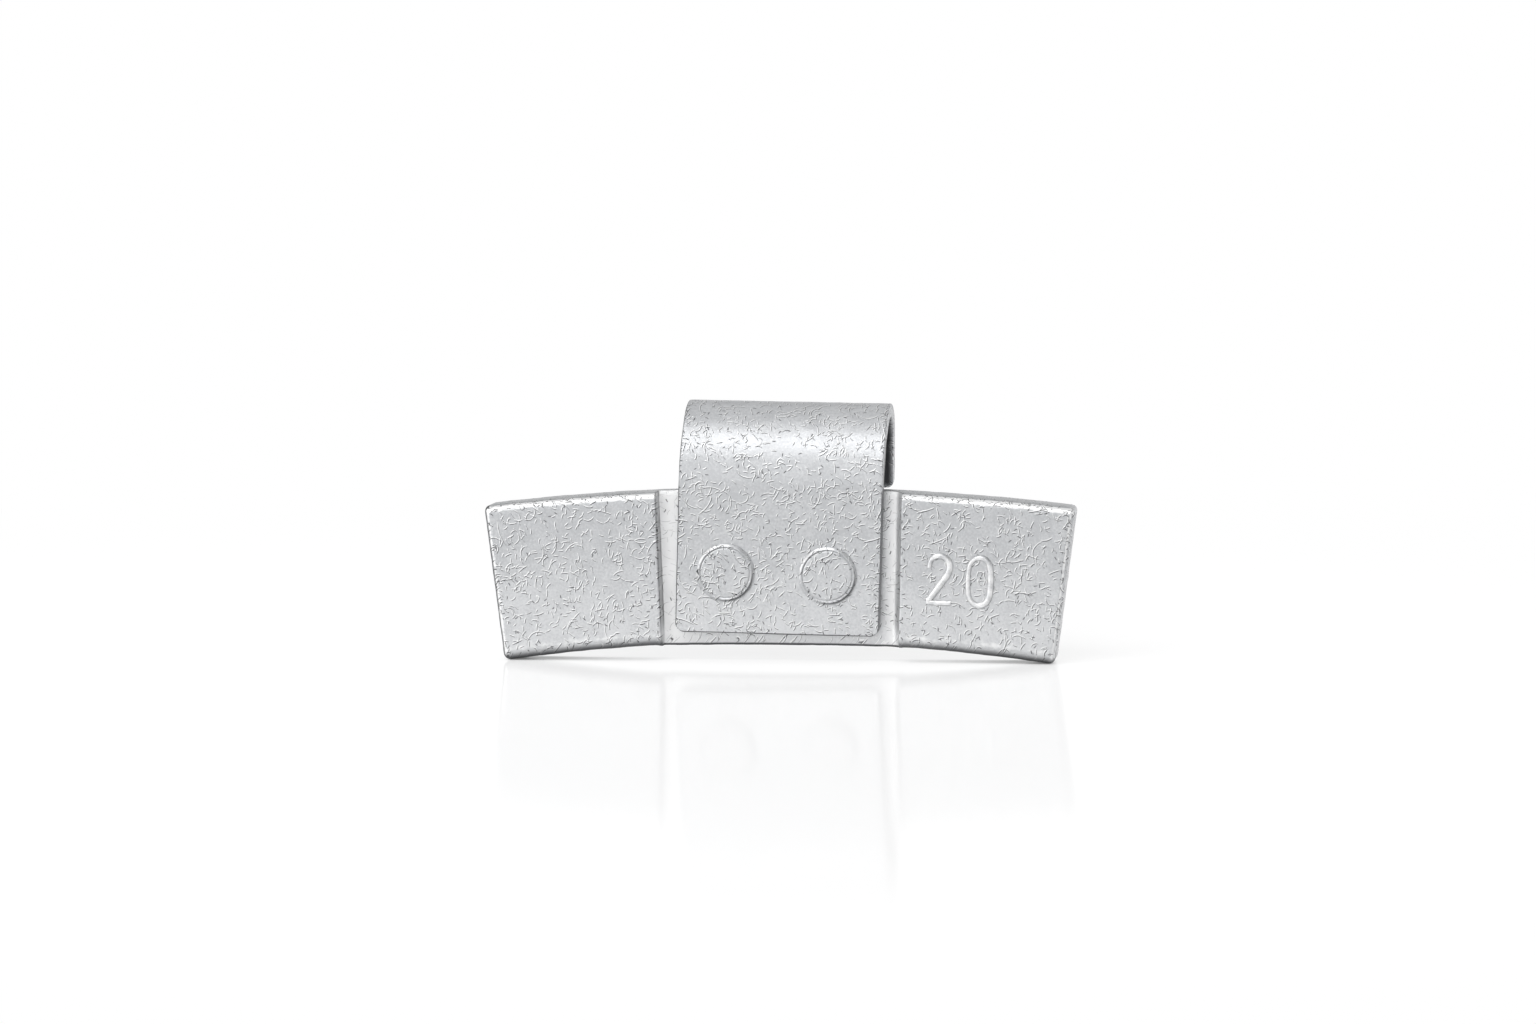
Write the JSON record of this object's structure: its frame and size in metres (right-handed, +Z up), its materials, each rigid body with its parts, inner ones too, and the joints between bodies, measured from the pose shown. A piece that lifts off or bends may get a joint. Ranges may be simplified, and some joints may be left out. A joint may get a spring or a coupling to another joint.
{
  "type": "wheel balance weight",
  "caption": "Clip-on wheel balance weight: a curved steel bar with raised end pads and a sprung strip clip staked into its middle channel, which hooks over the edge of a wheel rim.",
  "frame": {"origin": "middle of the footprint, at the height of the bar's two lower corners", "axes": "+X along the bar, +Y towards the wheel, from the pads to the clip's back leg, +Z up towards the rim's edge"},
  "size_m": [0.052, 0.01, 0.0227],
  "materials": {
    "weight_body": "silver-grey zinc-flake coat, satin, with a fine crinkle and pits",
    "spring_clip": "silver-grey zinc-flake coat, satin, with a fine crinkle and pits"
  },
  "bodies": {
    "root": {"weight_body": "weight_body", "spring_clip": "spring_clip"}
  },
  "joints": []
}
